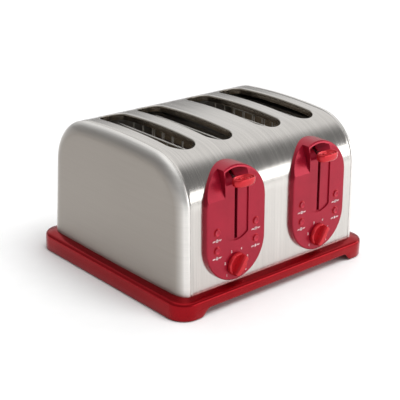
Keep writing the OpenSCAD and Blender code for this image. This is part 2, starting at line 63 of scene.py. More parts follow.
MM = 0.001
SIDES = {"left": -1, "right": 1}
MODULE_X = 68.5          # middle of a control module
SLOT_X = (-97, -40, 40, 97)
SLOT_HALF_W = 18
SLOT_HALF_STRAIGHT = 58  # half of the straight part of a slot
CELL_X = (-132.5, -68.5, 0, 68.5, 132.5)
BASE_TOP = 24.5
FOOT_Y = 125.5           # half depth of the shell at the base
WALL_TOP = 118           # height where the straight wall meets the long rounded corner
WALL_TOP_Y = 121
CORNER_R = 62
CORNER_Y = WALL_TOP_Y - CORNER_R
CROWN_TOP = 182.6
CROWN_R = 732.72
CROWN_Z = CROWN_TOP - CROWN_R
CROWN_END = math.atan2(WALL_TOP - CROWN_Z, CORNER_Y)
SHELL_HALF_W = 146
WALL_SLOPE = (FOOT_Y - WALL_TOP_Y) / (WALL_TOP - BASE_TOP)
LEAN = math.atan(WALL_SLOPE)
PANEL_LOW, PANEL_HIGH, PANEL_HALF_W = 29, 165, 45
PANEL_PROUD = 5.5
BUTTON_X, BUTTON_Z = 30, (93, 71.5)
DIAL_Z = 48


def mm_box(node):
    """Lowest and highest corner of a CAD node in millimetres."""
    low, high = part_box(node)
    return low / MM, high / MM


def blend(a, b, t):
    return a + (b - a) * t


def ease(t):
    t = min(1, max(0, t))
    return t * t * (3 - 2 * t)


def steps(a, b, count):
    """count + 1 evenly spaced numbers from a to b."""
    return [blend(a, b, i / count) for i in range(count + 1)]


def arc(x, y, radius, start, end, count):
    """Points of a circle's arc round (x, y)."""
    return [(x + radius * math.cos(a), y + radius * math.sin(a)) for a in steps(start, end, count)]


def pair(stem):
    return [stem + "_left", stem + "_right"]


def numbered(stem, count):
    return ["%s_%d" % (stem, i + 1) for i in range(count)]


# ---------------------------------------------------------------- meshes


class Shape:
    """Points in millimetres and the faces between them."""

    def __init__(self):
        self.points = []
        self.faces = []

    def add(self, points, faces):
        first = len(self.points)
        self.points += [tuple(p) for p in points]
        self.faces += [[first + i for i in face] for face in faces]
        return self

    def loft(self, rings, closed=True, ends=True):
        """Skin over rings of equal length, with end faces if the rings are closed."""
        count = len(rings[0])
        faces = []
        for i in range(len(rings) - 1):
            for j in range(count if closed else count - 1):
                k = (j + 1) % count
                faces.append([i * count + j, i * count + k, (i + 1) * count + k, (i + 1) * count + j])
        if ends:
            faces.append(list(range(count)))
            faces.append([(len(rings) - 1) * count + j for j in range(count)])
        return self.add([p for ring in rings for p in ring], faces)

    def box(self, low, high):
        rings = [[(low[0], low[1], z), (high[0], low[1], z), (high[0], high[1], z), (low[0], high[1], z)]
                 for z in (low[2], high[2])]
        return self.loft(rings)

    def lathe(self, outline, place, segments=48):
        """Turns (radius, height) points about the local third axis; place maps local to real."""
        turns = [2 * math.pi * j / segments for j in range(segments)]
        rings = [[place(max(r, 0.01) * math.cos(a), max(r, 0.01) * math.sin(a), h) for a in turns]
                 for r, h in outline]
        return self.loft(rings)

    def tube(self, path, radius, sides=8):
        """Round rod along a smooth path."""
        rings = []
        for i, point in enumerate(path):
            ahead = Vector(path[min(i + 1, len(path) - 1)]) - Vector(path[max(i - 1, 0)])
            across = ahead.cross(Vector((0, 0, 1)) if abs(ahead.normalized().z) < 0.9 else Vector((1, 0, 0)))
            across.normalize()
            other = ahead.cross(across).normalized()
            turns = [2 * math.pi * j / sides for j in range(sides)]
            rings.append([Vector(point) + across * radius * math.cos(a) + other * radius * math.sin(a)
                          for a in turns])
        return self.loft(rings)


def standing(x, y):
    """Maps a lathe's local axes to an upright axis at (x, y)."""
    return lambda u, v, w: (x + u, y + v, w)


def mesh_object(name, shape):
    """Object at the origin with welded points and outward normals."""
    mesh = bpy.data.meshes.new(name)
    mesh.from_pydata([Vector(p) * MM for p in shape.points], [], shape.faces)
    work = bmesh.new()
    work.from_mesh(mesh)
    bmesh.ops.remove_doubles(work, verts=work.verts, dist=2e-6)
    bmesh.ops.dissolve_degenerate(work, edges=work.edges, dist=1e-6)
    bmesh.ops.recalc_face_normals(work, faces=work.faces)
    work.to_mesh(mesh)
    work.free()
    thing = bpy.data.objects.new(name, mesh)
    bpy.context.scene.collection.objects.link(thing)
    return thing


def modify(thing, label, kind, **settings):
    modifier = thing.modifiers.new(label, kind)
    for name, value in settings.items():
        setattr(modifier, name, value)


def settle(thing):
    """Turns the object's modifiers into its final mesh."""
    final = bpy.data.meshes.new_from_object(
        thing.evaluated_get(bpy.context.evaluated_depsgraph_get()))
    final.name = thing.name
    thing.modifiers.clear()
    thing.data = final


def cut(thing, shape):
    """Takes a shape away from the object."""
    tool = mesh_object("tool", shape)
    modify(thing, "cut", "BOOLEAN", operation="DIFFERENCE", solver="EXACT", object=tool)
    settle(thing)
    bpy.data.objects.remove(tool)


def soften(thing, width, angle):
    """Small round along every edge sharper than the angle."""
    modify(thing, "soft edges", "BEVEL", width=width * MM, segments=2, limit_method="ANGLE",
           angle_limit=math.radians(angle), miter_outer="MITER_ARC", harden_normals=False)
    settle(thing)


def thicken(thing, depth):
    """Gives a skin its sheet thickness, inwards."""
    modify(thing, "sheet", "SOLIDIFY", thickness=depth * MM, offset=-1, use_even_offset=True)
    settle(thing)


def face_upwards(thing):
    """Flips the skin if its highest face looks down."""
    top = max(thing.data.polygons, key=lambda p: p.center.z + p.normal.z ** 2 * 0.001)
    if top.normal.z < 0:
        thing.data.flip_normals()
    return thing


def dress(thing, slot, body, stands_for=(), sharp=34, finish=None):
    """Gives a piece its shading, the finish of its slot and its body, and hides the CAD nodes that it stands
    for.
    """
    for polygon in thing.data.polygons:
        polygon.use_smooth = True
    thing.data.set_sharp_from_angle(angle=math.radians(sharp))
    thing.data.materials.clear()
    thing.data.materials.append(finish or finish_for(slot))
    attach(thing, body)
    if stands_for:
        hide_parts(*stands_for)


# ---------------------------------------------------------------- outlines of the shell


def top_height(y):
    """Height of the shell's upper surface at y."""
    if abs(y) <= CORNER_Y + CORNER_R * math.cos(CROWN_END):
        return CROWN_Z + math.sqrt(CROWN_R ** 2 - y * y)
    return WALL_TOP + math.sqrt(CORNER_R ** 2 - (abs(y) - CORNER_Y) ** 2)


def half_outline(inset, crown_count, corner_count, wall_count):
    """(y, z) from the crown's middle over one corner to the foot of the wall."""
    crown = [(max(0, y), z) for y, z in arc(0, CROWN_Z, CROWN_R - inset, math.pi / 2, CROWN_END, crown_count)]
    corner = arc(CORNER_Y, WALL_TOP, CORNER_R - inset, CROWN_END, 0, corner_count)[1:]
    wall = [(WALL_TOP_Y - inset + (WALL_TOP - z) * WALL_SLOPE, z)
            for z in steps(WALL_TOP, BASE_TOP, wall_count)][1:]
    return crown + corner + wall


def shell_outline(inset, crown_count=14, corner_count=24, wall_count=12):
    """(y, z) from the front foot over the top to the rear foot."""
    half = half_outline(inset, crown_count, corner_count, wall_count)
    return [(-y, z) for y, z in reversed(half)] + half[1:]


def wall_y(z):
    """How far the front of the shell stands from the middle at height z."""
    if z <= WALL_TOP:
        return WALL_TOP_Y + (WALL_TOP - z) * WALL_SLOPE
    return CORNER_Y + math.sqrt(max(0, CORNER_R ** 2 - (z - WALL_TOP) ** 2))


def face_y(z):
    """Y of the control panel's face plane at height z."""
    return -(FOOT_Y + PANEL_PROUD) + (z - BASE_TOP) * WALL_SLOPE


def on_face(x, z, turn=0.0):
    """Maps local (right, up, out) on the panel's face at (x, z) to real points."""
    up = Vector((0, math.sin(LEAN), math.cos(LEAN)))
    out = Vector((0, -math.cos(LEAN), math.sin(LEAN)))
    origin = Vector((x, face_y(z), z))
    cos, sin = math.cos(turn), math.sin(turn)

    def place(u, v, w):
        return origin + Vector((1, 0, 0)) * (u * cos + v * sin) + up * (v * cos - u * sin) + out * w

    return place


# ---------------------------------------------------------------- finishes


class Term:
    """A shader socket that sums and products can be written with."""

    def __init__(self, nodes, socket):
        self.nodes = nodes
        self.socket = socket

    def maths(self, operation, first, second):
        return self.nodes.node("ShaderNodeMath", {"operation": operation}, {0: first, 1: second})

    def __add__(self, other):
        return self.maths("ADD", self, other)

    __radd__ = __add__

    def __sub__(self, other):
        return self.maths("SUBTRACT", self, other)

    def __rsub__(self, other):
        return self.maths("SUBTRACT", other, self)

    def __mul__(self, other):
        return self.maths("MULTIPLY", self, other)

    __rmul__ = __mul__

    def __pow__(self, other):
        return self.maths("POWER", self, other)


class Nodes:
    """Makes the nodes of one tree."""

    def __init__(self, tree):
        self.tree = tree
        tree.nodes.clear()

    def node(self, kind, settings, sockets, output=0):
        made = self.tree.nodes.new(kind)
        for name, value in settings.items():
            setattr(made, name, value)
        for key, value in sockets.items():
            if isinstance(value, Term):
                self.tree.links.new(value.socket, made.inputs[key])
            else:
                made.inputs[key].default_value = value
        return Term(self, made.outputs[output]) if made.outputs else None

    def place(self, kind="Object"):
        return self.node("ShaderNodeTexCoord", {}, {}, kind)

    def along(self, vector, axis):
        return self.node("ShaderNodeSeparateXYZ", {}, {"Vector": vector}, axis)

    def noise(self, vector, stretch, detail):
        """Noise whose cells are 1 / stretch metres along each axis."""
        scaled = self.node("ShaderNodeMapping", {}, {"Vector": vector, "Scale": stretch})
        return self.node("ShaderNodeTexNoise", {}, {"Vector": scaled, "Scale": 1.0, "Detail": detail}, "Fac")

    def between(self, low, high, factor):
        """Colour from low to high as the factor goes from 0 to 1."""
        return self.node("ShaderNodeMix", {"data_type": "RGBA"}, {0: factor, 6: low, 7: high}, 2)

    def varied(self, colour, contrast, factor):
        """The colour, darker where the factor is 0 and lighter where it is 1."""
        return self.between(*[(*[min(1.0, c * share) for c in tuple(colour)[:3]], 1.0)
                              for share in (1 - contrast, 1 + contrast)], factor)

    def spread(self, value, low, high, kind="LINEAR"):
        """Stretches the part of a value between low and high over 0 to 1."""
        return self.node("ShaderNodeMapRange", {"interpolation_type": kind},
                         {"Value": value, "From Min": low, "From Max": high})

    def bump(self, height, distance):
        return self.node("ShaderNodeBump", {}, {"Height": height, "Distance": distance, "Strength": 1.0})


def finish_name(slot):
    return slot + "_finish"      # the frame's own materials bear the bare slot names


def new_finish(slot):
    material = bpy.data.materials.new(finish_name(slot))
    material.use_nodes = True
    return material, Nodes(material.node_tree)


def close_finish(nodes, sockets):
    surface = nodes.node("ShaderNodeBsdfPrincipled", {}, sockets)
    nodes.node("ShaderNodeOutputMaterial", {}, {"Surface": surface})


def cap_highlight_mask(nodes):
    """1 on the flat face of an end cap, 0 on its rounded edge, where the lighter edge steel is a painted
    highlight.
    """
    return nodes.spread(nodes.along(nodes.place("Normal"), 0) ** 2, 0.55, 0.97)


def slot_flange_shade_mask(nodes):
    """1 on the turned-down edges of the bread slots, 0 elsewhere; there the darker flange steel is painted
    shade.
    """
    upright = nodes.spread(nodes.along(nodes.place("Normal"), 2) ** 2, 0.55, 0.10)
    return upright * nodes.spread(nodes.along(nodes.place(), 2), 0.167, 0.169)


def brushed_metal(name, colour, grain, roughness, contrast=0.10, metallic=1.0, where=None, other=None):
    """Metal with fine lines; grain is how many lines a metre each axis crosses.

    The colour turns to the other colour where the function where gives 1; the steels use this for painted
    shade on the slot flanges and a painted highlight on the caps' rounded edges.
    """
    material, nodes = new_finish(name)
    place = nodes.place()
    fine = nodes.noise(place, grain, 3.0)
    broad = nodes.noise(place, tuple(g * 0.16 for g in grain), 2.0)
    streak = fine * 0.65 + broad * 0.35
    cloud = nodes.noise(place, (9, 9, 9), 1.0)
    tone = nodes.spread(streak, 0.32, 0.68)
    paint = nodes.varied(colour, contrast, tone)
    if where:
        paint = nodes.between(paint, nodes.varied(other, contrast, tone), where(nodes))
    close_finish(nodes, {
        "Base Color": paint,
        "Metallic": metallic,
        "Roughness": (tone - 0.5) * 0.10 + (cloud - 0.5) * 0.06 + roughness,
        "Normal": nodes.bump(streak, 0.00002),
    })
    return material


def moulded_plastic(name, colour, roughness, metallic=0.0, relief=0.000006, contrast=0.07, specular=0.5):
    """Moulding with slight clouds in its colour and a fine skin."""
    material, nodes = new_finish(name)
    place = nodes.place()
    cloud = nodes.noise(place, (45, 45, 45), 3.0)
    skin = nodes.noise(place, (1500, 1500, 1500), 2.0)
    close_finish(nodes, {
        "Base Color": nodes.varied(colour, contrast, nodes.spread(cloud * 0.7 + skin * 0.3, 0.35, 0.65)),
        "Metallic": metallic,
        "Roughness": (cloud - 0.5) * 0.08 + roughness,
        "Specular IOR Level": specular,
        "Normal": nodes.bump(skin, relief),
    })
    return material


def speckled_metal(name, colour, roughness, cell, contrast=0.15, metallic=1.0):
    """Metal or board with a grain of patches, as on zinc plate or mica."""
    material, nodes = new_finish(name)
    place = nodes.place()
    patches = nodes.node("ShaderNodeTexVoronoi", {}, {"Vector": place, "Scale": 1.0 / cell}, "Color")
    value = nodes.node("ShaderNodeSeparateColor", {}, {"Color": patches}, 0)
    cloud = nodes.noise(place, (60, 60, 60), 3.0)
    tone = value * 0.6 + cloud * 0.4
    close_finish(nodes, {
        "Base Color": nodes.varied(colour, contrast, tone),
        "Metallic": metallic,
        "Roughness": (tone - 0.5) * 0.18 + roughness,
        "Normal": nodes.bump(cloud, 0.00002),
    })
    return material


def finish_for(slot):
    """The finish of one of the record's material slots."""
    looks = bpy.context.scene.toaster_looks
    metal, plastic = partial(brushed_metal, slot), partial(moulded_plastic, slot)
    speckled = partial(speckled_metal, slot)
    makers = {
        # the slots' turned-down edges get a darker, browner steel: painted shade for the dark inside that
        # they reflect
        "brushed_steel": lambda: metal(looks.steel, (1700, 14, 14), 0.22, 0.13,
                                       where=slot_flange_shade_mask, other=looks.flange_shade_steel),
        # the caps' rounded edges get a much lighter steel than their flat faces: a painted highlight, chosen
        # by the surface normal
        "cap_steel": lambda: metal(looks.cap_steel, (14, 14, 1500), 0.40, 0.05,
                                   where=cap_highlight_mask, other=looks.cap_face_steel),
        "red_plastic": lambda: plastic(looks.base_red, 0.22, 0.70, specular=0.3),
        "knob_red": lambda: plastic(looks.knob_red, 0.20, 0.50),
        "dial_red": lambda: plastic(looks.knob_red, 0.22, 0.50),
        "panel_red": lambda: plastic(looks.panel_red, 0.25, 0.50, specular=0.4),
        "button_red": lambda: plastic(looks.button_red, 0.30, 0.5, specular=0.3),
        "rubber": lambda: plastic((0.02, 0.02, 0.02), 0.75, relief=0.00002),
        "black_plastic": lambda: plastic((0.02, 0.02, 0.022), 0.45),
        "galvanised": lambda: speckled((0.40, 0.40, 0.40), 0.42, 0.004),
        "aluminium_shield": lambda: speckled((0.34, 0.33, 0.32), 0.38, 0.006, 0.06),
        "mica": lambda: speckled((0.30, 0.23, 0.16), 0.55, 0.002, 0.30, 0.0),
        "nichrome": lambda: metal((0.36, 0.30, 0.27), (300, 900, 300), 0.40),
        "bright_wire": lambda: metal((0.86, 0.84, 0.80), (400, 400, 400), 0.22, metallic=0.45),
        "spring_steel": lambda: metal((0.55, 0.55, 0.56), (700, 700, 700), 0.28),
        "board_green": lambda: speckled((0.03, 0.14, 0.06), 0.40, 0.003, 0.25, 0.0),
        "coil_brown": lambda: metal((0.33, 0.15, 0.07), (60, 60, 2400), 0.35, 0.3),
        "latch_iron": lambda: speckled((0.33, 0.33, 0.34), 0.45, 0.002),
        "zinc_screw": lambda: speckled((0.56, 0.55, 0.50), 0.32, 0.002),
    }
    return bpy.data.materials.get(finish_name(slot)) or makers[slot]()


# ---------------------------------------------------------------- properties


def number_property(name, description, default, **more):
    return bpy.props.FloatProperty(name=name, description=description, default=default, **more)


def length_property(name, description, default):
    return number_property(name, description, default, unit="LENGTH", subtype="DISTANCE", precision=5)


def colour_property(name, description, default):
    return bpy.props.FloatVectorProperty(name=name, description=description, default=default, size=3,
                                         min=0, max=1, subtype="COLOR")


class ToasterShellSizes(bpy.types.PropertyGroup):
    """Sizes of the steel shell's details."""

    sheet: length_property("Sheet", "Thickness of the steel wrap", 0.0009)
    lip: length_property("Slot lip", "Radius of the rolled edge round each bread slot", 0.0022)
    flange: length_property("Slot flange", "Depth of the turned-down edge of each bread slot", 0.008)
    seam: length_property("Seam roll", "How far the sheet edges turn in at the end caps", 0.0006)
    cap_crown: length_property("Cap crown", "How far the end cap's face bulges", 0.0012)
    cap_round: length_property("Cap round", "How far the end cap's rounded edge runs in", 0.020)


class ToasterPanelSizes(bpy.types.PropertyGroup):
    """Sizes of the control panels' details."""

    rim: length_property("Rim round", "Radius of the panel's front rim", 0.0016)
    edge: length_property("Edge round", "Radius of the channel's and facet's edges", 0.0006)
    facet: length_property("Facet depth", "How deep the left facet lies at its tip", 0.013)
    roof_drop: length_property("Roof drop", "How far the face curves back at its upper end", 0.004)
    slit: length_property("Slit", "Width of the lever's slit", 0.0044)
    number: length_property("Numbers", "Height of the numbers round the dial", 0.0032)
    mark: length_property("Marks", "Thickness of the lines of the button marks", 0.00065)


class ToasterLooks(bpy.types.PropertyGroup):
    """Colours of the finishes."""

    steel: colour_property("Steel", "Brushed steel of the wrap", (0.62, 0.595, 0.565))
    # painted shade: darker steel on the slot flanges, standing in for the dark inside that they reflect
    flange_shade_steel: colour_property("Flange steel", "Turned-down edges of the bread slots", (0.42, 0.37, 0.31))
    # painted highlight: the light edge colour brightens the caps' rounded edges; the face colour is the
    # darker steel of the flat faces beside it
    cap_steel: colour_property("Cap edge steel", "Rounded edges of the end caps", (0.82, 0.80, 0.77))
    cap_face_steel: colour_property("Cap face steel", "Satin faces of the end caps", (0.335, 0.305, 0.275))
    base_red: colour_property("Base red", "Metallic red of the base", (0.31, 0.003, 0.008))
    panel_red: colour_property("Panel red", "Red of the control panels", (0.35, 0.010, 0.030))
    knob_red: colour_property("Knob red", "Red of the lever knobs and dials", (0.55, 0.016, 0.026))
    button_red: colour_property("Button red", "Red of the push buttons", (0.42, 0.022, 0.044))
    print_white: colour_property("Print", "Numbers and button marks", (0.80, 0.74, 0.74))


class ToasterStage(bpy.types.PropertyGroup):
    """Camera and light."""

    azimuth: number_property("Azimuth", "Direction of the camera round the toaster",
                             math.radians(-42.624), subtype="ANGLE")
    elevation: number_property("Elevation", "Height angle of the camera", math.radians(21.682),
                               subtype="ANGLE")
    roll: number_property("Roll", "Lean of the camera", math.radians(1.936), subtype="ANGLE")
    position: bpy.props.FloatVectorProperty(name="Position", description="Place of the camera", size=3,
                                            default=(-0.8394, -0.9029, 0.5579), subtype="TRANSLATION")
    lens: number_property("Lens", "Focal length on a 36 mm sensor in millimetres", 95.2)
    floor: colour_property("Floor", "Colour of the floor", (0.95, 0.95, 0.95))
    room: number_property("Room light", "Brightness of the surroundings", 1.0)
    key: number_property("Key light", "Strength of the soft lamp", 1.7)
    strip: number_property("Strip light", "Power of the low soft box in watts", 6.0)


# ---------------------------------------------------------------- pieces


class TOASTER_OT_wrap(bpy.types.Operator):
    """Steel wrap: front wall, top with four rolled bread slots, and rear wall"""

    bl_idname = "toaster.wrap"
    bl_label = "Steel wrap"

    EDGE_Y = 84      # where the slot patches end and the plain walls begin
    COLUMNS = 20     # across one slot patch
    ROWS = 44        # along one slot patch
    GAP_HALF_W, GAP_Z = 25, (68, 156)    # the front wall is open behind each panel

    def slot_point(self, centre, corner, out):
        """Point of the slot's outline, grown by out, that faces a point of the patch's edge."""
        x, y = corner
        if abs(y) <= SLOT_HALF_STRAIGHT:
            return centre + math.copysign(SLOT_HALF_W + out, x - centre), y
        pivot = math.copysign(SLOT_HALF_STRAIGHT, y)
        away = Vector((x - centre, y - pivot)).normalized() * (SLOT_HALF_W + out)
        return centre + away.x, pivot + away.y

    def slot_patch(self, shape, centre, x0, x1, lip, flange):
        xs, ys = steps(x0, x1, self.COLUMNS), steps(-self.EDGE_Y, self.EDGE_Y, self.ROWS)
        border = [(x, ys[0]) for x in xs[:-1]] + [(x1, y) for y in ys[:-1]]
        border += [(x, ys[-1]) for x in reversed(xs[1:])] + [(x0, y) for y in reversed(ys[1:])]
        levels = [(0, -flange), (0, -(flange + lip) / 2)]
        levels += [(lip * (1 - math.cos(a)), lip * (math.sin(a) - 1))
                   for a in steps(0, math.pi / 2, 6)]
        rings = []
        for out, drop in levels:
            ring = [self.slot_point(centre, p, out) for p in border]
            rings.append([(x, y, top_height(y) + drop) for x, y in ring])
        for share in (0.08, 0.25, 0.45, 0.7, 1):
            ring = []
            for p in border:
                x, y = self.slot_point(centre, p, lip)
                x, y = blend(x, p[0], share), blend(y, p[1], share)
                ring.append((x, y, top_height(y)))
            rings.append(ring)
        shape.loft(rings, ends=False)

    def wall(self, shape, xs, s):
        start = math.acos((self.EDGE_Y - CORNER_Y) / CORNER_R)
        line = arc(CORNER_Y, WALL_TOP, CORNER_R, start, 0, 22)
        line += [(wall_y(z), z) for z in steps(WALL_TOP, BASE_TOP, 14)[1:]]
        for i in range(len(line) - 1):
            (y0, z0), (y1, z1) = line[i], line[i + 1]
            for x0, x1 in zip(xs, xs[1:]):
                beside = abs(abs(x0 + x1) / 2 - MODULE_X)
                if s < 0 and beside < self.GAP_HALF_W and self.GAP_Z[0] < (z0 + z1) / 2 < self.GAP_Z[1]:
                    continue
                shape.add([(x0, s * y0, z0), (x1, s * y0, z0), (x1, s * y1, z1), (x0, s * y1, z1)],
                          [[0, 1, 2, 3]])

    def execute(self, context):
        sizes = context.scene.toaster_shell
        shape = Shape()
        for centre, x0, x1 in zip(SLOT_X, CELL_X, CELL_X[1:]):
            self.slot_patch(shape, centre, x0, x1, sizes.lip / MM, sizes.flange / MM)
            for s in (-1, 1):
                self.wall(shape, steps(x0, x1, self.COLUMNS), s)
        wrap = face_upwards(mesh_object("steel_wrap", shape))
        self.roll_ends(wrap, sizes.seam)
        thicken(wrap, sizes.sheet / MM)
        dress(wrap, "brushed_steel", "housing", ["wrap_shell"], 50)
        return {"FINISHED"}

    def roll_ends(self, wrap, turn):
        """Adds a narrow band at both ends, whose outer edge turns in."""
        end = CELL_X[-1] * MM
        work = bmesh.new()
        work.from_mesh(wrap.data)
        for s in (-1, 1):
            for inward in (0.0012, 0.0005):
                geometry = work.verts[:] + work.edges[:] + work.faces[:]
                bmesh.ops.bisect_plane(work, geom=geometry, dist=1e-7, plane_co=(s * (end - inward), 0, 0),
                                       plane_no=(1, 0, 0))
        work.normal_update()
        moves = []
        for vertex in work.verts:
            share = ease((abs(vertex.co.x) - end + 0.0012) / 0.0012)
            if share > 0:
                normal = Vector((0, vertex.normal.y, vertex.normal.z)).normalized()
                moves.append((vertex, normal * -turn * share))
        for vertex, move in moves:
            vertex.co += move
        work.to_mesh(wrap.data)
        work.free()


class TOASTER_OT_caps(bpy.types.Operator):
    """Pressed end caps with a rounded edge and a slightly crowned face"""

    bl_idname = "toaster.caps"
    bl_label = "End caps"

    def execute(self, context):
        sizes = context.scene.toaster_shell
        x0, x1 = CELL_X[-1] + 0.2, SHELL_HALF_W
        crown, run, seam = sizes.cap_crown / MM, sizes.cap_round / MM, sizes.seam / MM
        for side, s in SIDES.items():
            levels = [(x0, seam), (x0 + 0.3, seam * 0.4), (x0 + 0.9, 0)]
            levels += [(x0 + 0.9 + (x1 - crown - x0 - 0.9) * math.sin(a), run * (1 - math.cos(a)))
                       for a in steps(0, math.pi / 2, 16)[1:]]
            rings = [[(s * x, y, z) for y, z in shell_outline(inset)] for x, inset in levels]
            edge = shell_outline(run)
            for share in (0.97, 0.85, 0.7, 0.5, 0.3, 0.12):
                bulge = x1 - crown * share ** 2
                rings.append([(s * bulge, y * share, BASE_TOP + (z - BASE_TOP) * share) for y, z in edge])
            shape = Shape().loft(rings, closed=False, ends=False)
            count = len(edge)
            shape.faces.append([len(shape.points) - count + j for j in range(count)])
            cap = mesh_object(side + "_cap", shape)
            outer = max(cap.data.polygons, key=lambda p: s * p.center.x)
            if outer.normal.x * s < 0:
                cap.data.flip_normals()
            thicken(cap, 1.2)
            dress(cap, "cap_steel", "housing", [side + "_end_cap"], 50)
        return {"FINISHED"}


class TOASTER_OT_base(bpy.types.Operator):
    """Moulded red base: skirt with a soft shoulder and four corner feet, floor with vents"""

    bl_idname = "toaster.base"
    bl_label = "Base"

    RADIUS = 23
    FLOOR = (10.5, 13.0)     # underside and upper side of the floor
    SKIRT_LOW = 1.0
    RECESS = 10.2            # lower edge of the skirt between the feet
    SHEET = 2.9              # how far the floor stays inside the skirt's outside
    MOUTH_HALF_W, MOUTH_Z = 53, (12.9, 20)       # crumb tray mouths at the rear
    GLAND_R, GLAND_Z = 5, 17                     # hole for the cord gland
    VENT_HALF_W, VENT_HALF_L, VENT_PITCH = 2.5, 67.5, 11
    SCREW_X, SCREW_Y = (-130, 0, 130), 84
    PAD_X, PAD_Y = (-130, 130), 112

    def path(self, half_w, half_d):
        """Points and outward directions round the base."""
        straight = half_w - self.RADIUS
        xs = [0, 30, 60, 90, 108] + steps(113, 127.5, 12) + [straight]
        xs = [x for x in xs if x <= straight]
        ys = steps(-(half_d - self.RADIUS), half_d - self.RADIUS, 8)
        front = [((x, -half_d), (0, -1)) for x in [-v for v in reversed(xs)] + xs[1:]]
        right = [((half_w, y), (1, 0)) for y in ys]
        points = []
        for k, line in enumerate((front, right, front, right)):
            flip = -1 if k >= 2 else 1
            points += [((x * flip, y * flip), (u * flip, v * flip)) for (x, y), (u, v) in line]
            x, y = straight * flip, (half_d - self.RADIUS) * (1 if k in (1, 2) else -1)
            start = math.radians(-90 + 90 * k)
            for a in steps(start, start + math.pi / 2, 14)[1:-1]:
                u, v = math.cos(a), math.sin(a)
                points.append(((x + self.RADIUS * u, y + self.RADIUS * v), (u, v)))
        return points

    def low_edge(self, x, direction):
        """Height of the skirt's lower edge: low at the corner feet, raised between them."""
        if abs(direction[1]) < 0.99:
            return self.SKIRT_LOW
        return blend(self.RECESS, self.SKIRT_LOW, ease((abs(x) - 113.5) / 13))

    def execute(self, context):
        low, high = mm_box("base_tray")
        half_w, half_d = (high.x - low.x) / 2, (high.y - low.y) / 2
        upper = [(0, 12), (0, 15), (0, 17.6), (0.1, 18.7), (0.36, 19.75), (0.85, 20.7), (1.5, 21.45),
                 (2.4, 22.1), (3.6, 22.6), (5.2, 23.0), (8, 23.75), (10.6, 24.42), (11.2, BASE_TOP),
                 (17, BASE_TOP), (17, 21.5), (3, 21), (3, 11.2), (2.5, 10.9)]
        rings = []
        for (x, y), direction in self.path(half_w, half_d):
            edge = self.low_edge(x, direction)
            section = [(0.9, edge), (0.3, edge + 0.25), (0, edge + 0.9)] + upper
            section += [(2.5, edge + 0.3), (2.0, edge)]
            rings.append([(x - direction[0] * d, y - direction[1] * d, z) for d, z in section])
        rings.append(rings[0])
        skirt = mesh_object("base_skirt", Shape().loft(rings, ends=False))
        mouths = Shape()
        inner, outer = half_d - 10, half_d + 1
        for s in SIDES.values():
            mouths.box((s * MODULE_X - self.MOUTH_HALF_W, inner, self.MOUTH_Z[0]),
                       (s * MODULE_X + self.MOUTH_HALF_W, outer, self.MOUTH_Z[1]))
        mouths.lathe([(self.GLAND_R, inner), (self.GLAND_R, outer)],
                     lambda u, v, w: (u, w, self.GLAND_Z + v), 32)
        cut(skirt, mouths)
        dress(skirt, "red_plastic", "housing", ["base_tray"], 42)
        self.floor(half_w - self.SHEET, half_d - self.SHEET)
        return {"FINISHED"}

    def floor(self, half_w, half_d):
        radius = self.RADIUS - self.SHEET
        outline = []
        for k, (sx, sy) in enumerate(((1, -1), (1, 1), (-1, 1), (-1, -1))):
            start = math.radians(-90 + 90 * k)
            x, y = sx * (half_w - radius), sy * (half_d - radius)
            outline += arc(x, y, radius, start, start + math.pi / 2, 10)
        plate = Shape().loft([[(x, y, z) for x, y in outline] for z in self.FLOOR])
        floor = mesh_object("base_floor", plate)
        vents = Shape()
        for s in SIDES.values():
            for i in range(-4, 5):
                x = s * MODULE_X + i * self.VENT_PITCH
                slot = arc(x, self.VENT_HALF_L, self.VENT_HALF_W, 0, math.pi, 8)
                slot += arc(x, -self.VENT_HALF_L, self.VENT_HALF_W, math.pi, math.pi + math.pi, 8)
                vents.loft([[(u, v, z) for u, v in slot] for z in (9, 14)])
        cut(floor, vents)
        soften(floor, 0.4, 38)
        extras = Shape()
        for s in (-1, 1):
            extras.box((-half_w + 13, s * 83 - 5, 21.5), (half_w - 13, s * 83 + 5, 24.4))
            for x in self.SCREW_X:
                extras.lathe([(1.6, 12), (5, 12), (5, 22), (1.6, 22)], standing(x, s * self.SCREW_Y), 24)
            for x in self.PAD_X:
                extras.lathe([(0.1, 11), (9.2, 11), (10, 10), (10, 3.6), (9.4, 3), (0.1, 3)],
                             standing(x, s * self.PAD_Y), 40)
        bars = mesh_object("base_bars", extras)
        for piece in (floor, bars):
            dress(piece, "red_plastic", "housing", ["base_tray"], 40)


class TOASTER_OT_feet(bpy.types.Operator):
    """Rubber feet with grooved soles"""

    bl_idname = "toaster.feet"
    bl_label = "Rubber feet"

    RADIUS = 9
    GROOVES = (6.4, 4.4, 2.4)

    def execute(self, context):
        low, high = mm_box("rubber_feet")
        radius, thick = self.RADIUS, high.z - low.z
        outline = [(0.1, thick), (radius - 1, thick), (radius - 0.2, thick - 0.5), (radius, thick - 1.2),
                   (radius, 0.9), (radius - 0.3, 0.3), (radius - 1, 0)]
        for r in self.GROOVES:
            outline += [(r + 0.9, 0), (r + 0.6, 0.5), (r + 0.1, 0.5), (r - 0.2, 0)]
        outline.append((0.1, 0))
        shape = Shape()
        for x in (low.x + radius, high.x - radius):
            for y in (low.y + radius, high.y - radius):
                shape.lathe(outline, standing(x, y), 40)
        dress(mesh_object("feet", shape), "rubber", "housing", ["rubber_feet"])
        return {"FINISHED"}


